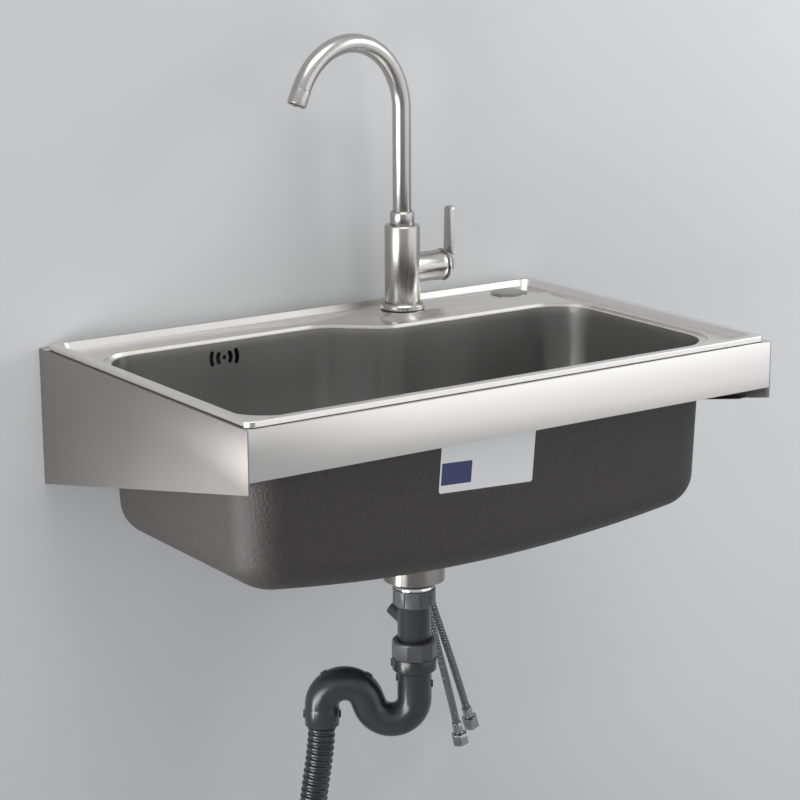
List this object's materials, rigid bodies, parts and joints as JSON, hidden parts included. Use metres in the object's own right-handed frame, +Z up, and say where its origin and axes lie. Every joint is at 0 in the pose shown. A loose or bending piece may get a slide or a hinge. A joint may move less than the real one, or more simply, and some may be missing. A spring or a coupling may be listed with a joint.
{
  "type": "wall-mounted sink",
  "caption": "Wall-mounted steel sink on a folded bracket: deep bowl, raised tap platform, lever tap with swivel spout, basket strainer, S-trap and hanging hoses.",
  "frame": {"origin": "centre of the four wall bolt holes, on the wall plane", "axes": "+X to the right as seen from the front, +Y into the wall, +Z up"},
  "size_m": [0.68, 0.449, 1.177],
  "materials": {
    "stainless": "satin pressed stainless steel",
    "bracket_steel": "satin folded steel sheet",
    "zinc_steel": "zinc-plated steel",
    "tap_steel": "satin brushed stainless steel",
    "bright_metal": "bright chrome plating",
    "dark_coating": "sprayed sound-deadening coating, fine orange peel",
    "sticker_film": "white sticker, blank",
    "black_rubber": "black rubber",
    "grey_plastic": "dark grey moulded plastic",
    "light_grey_plastic": "mid grey moulded plastic",
    "black_plastic": "black moulded plastic",
    "valve_brass": "turned brass",
    "white_plastic": "white moulded plastic",
    "steel_braid": "steel wire braid over a black hose"
  },
  "bodies": {
    "sink": {"base_gasket": "black_rubber", "base_ring": "tap_steel", "blank_sticker": "sticker_film", "bowl_coating": "dark_coating", "cartridge": "black_plastic", "cold_hose_fitting": "bright_metal", "cold_supply_hose": "steel_braid", "cover_nut": "black_plastic", "drain_hose": "grey_plastic", "frame_nuts": "zinc_steel", "front_rail": "bracket_steel", "hose_end_cuff": "grey_plastic", "hose_seal": "black_rubber", "hose_seals": "black_rubber", "hot_hose_fitting": "bright_metal", "hot_supply_hose": "steel_braid", "left_side_panel": "bracket_steel", "mounting_shank": "tap_steel", "outlet_gasket": "black_rubber", "outlet_ring": "bright_metal", "overflow_gasket": "black_rubber", "overflow_housing": "black_plastic", "overflow_nuts": "zinc_steel", "rear_rail": "bracket_steel", "right_side_panel": "bracket_steel", "rim_seal": "black_rubber", "rubber_washer": "black_rubber", "shank_nut": "zinc_steel", "sink_basin": "stainless", "slip_nut": "grey_plastic", "slip_washer": "black_rubber", "steel_washer": "zinc_steel", "strainer_body": "stainless", "strainer_gasket": "black_rubber", "strainer_locknut": "black_plastic", "tail_seal": "black_rubber", "tailpiece": "grey_plastic", "tap_body": "tap_steel", "tap_hole_cover": "stainless", "top_slip_nut": "light_grey_plastic", "trap_bend": "grey_plastic"},
    "spout": {"spout_tube": "tap_steel", "spout_bush": "black_plastic", "spout_collar": "tap_steel", "aerator": "tap_steel", "aerator_insert": "white_plastic"},
    "valve": {"valve_carrier": "black_plastic", "stem_pin": "zinc_steel"},
    "lever": {"lever_handle": "tap_steel", "valve_stem": "valve_brass", "lever_screw": "zinc_steel"},
    "basket": {"strainer_basket": "stainless", "basket_stopper": "black_rubber"},
    "cold_nut": {"cold_hose_nut": "bright_metal"},
    "hot_nut": {"hot_hose_nut": "bright_metal"}
  },
  "joints": [
    {"name": "spout_swivel", "type": "hinge", "parent": "sink", "child": "spout", "pos_m": [0.1068, -0.0625, 0.1815], "axis": [0, 0, 1], "range_deg": [-20, 180]},
    {"name": "lever_temperature", "type": "hinge", "parent": "sink", "child": "valve", "pos_m": [0.1568, -0.0625, 0.1275], "axis": [1, 0, 0], "range_deg": [-40, 40]},
    {"name": "lever_flow", "type": "hinge", "parent": "valve", "child": "lever", "pos_m": [0.1568, -0.0625, 0.1275], "axis": [0, 1, 0], "range_deg": [0, 22]},
    {"name": "basket_lift", "type": "slide", "parent": "sink", "child": "basket", "axis": [0, 0, 1], "range_m": [0, 0.06]},
    {"name": "cold_nut_turn", "type": "hinge", "parent": "sink", "child": "cold_nut", "pos_m": [0.17834, -0.07955, -0.47288], "axis": [0.2021, -0.064, -0.9773], "continuous": true},
    {"name": "hot_nut_turn", "type": "hinge", "parent": "sink", "child": "hot_nut", "pos_m": [0.21854, -0.04646, -0.47116], "axis": [0.3381, 0.0597, -0.9392], "continuous": true}
  ]
}
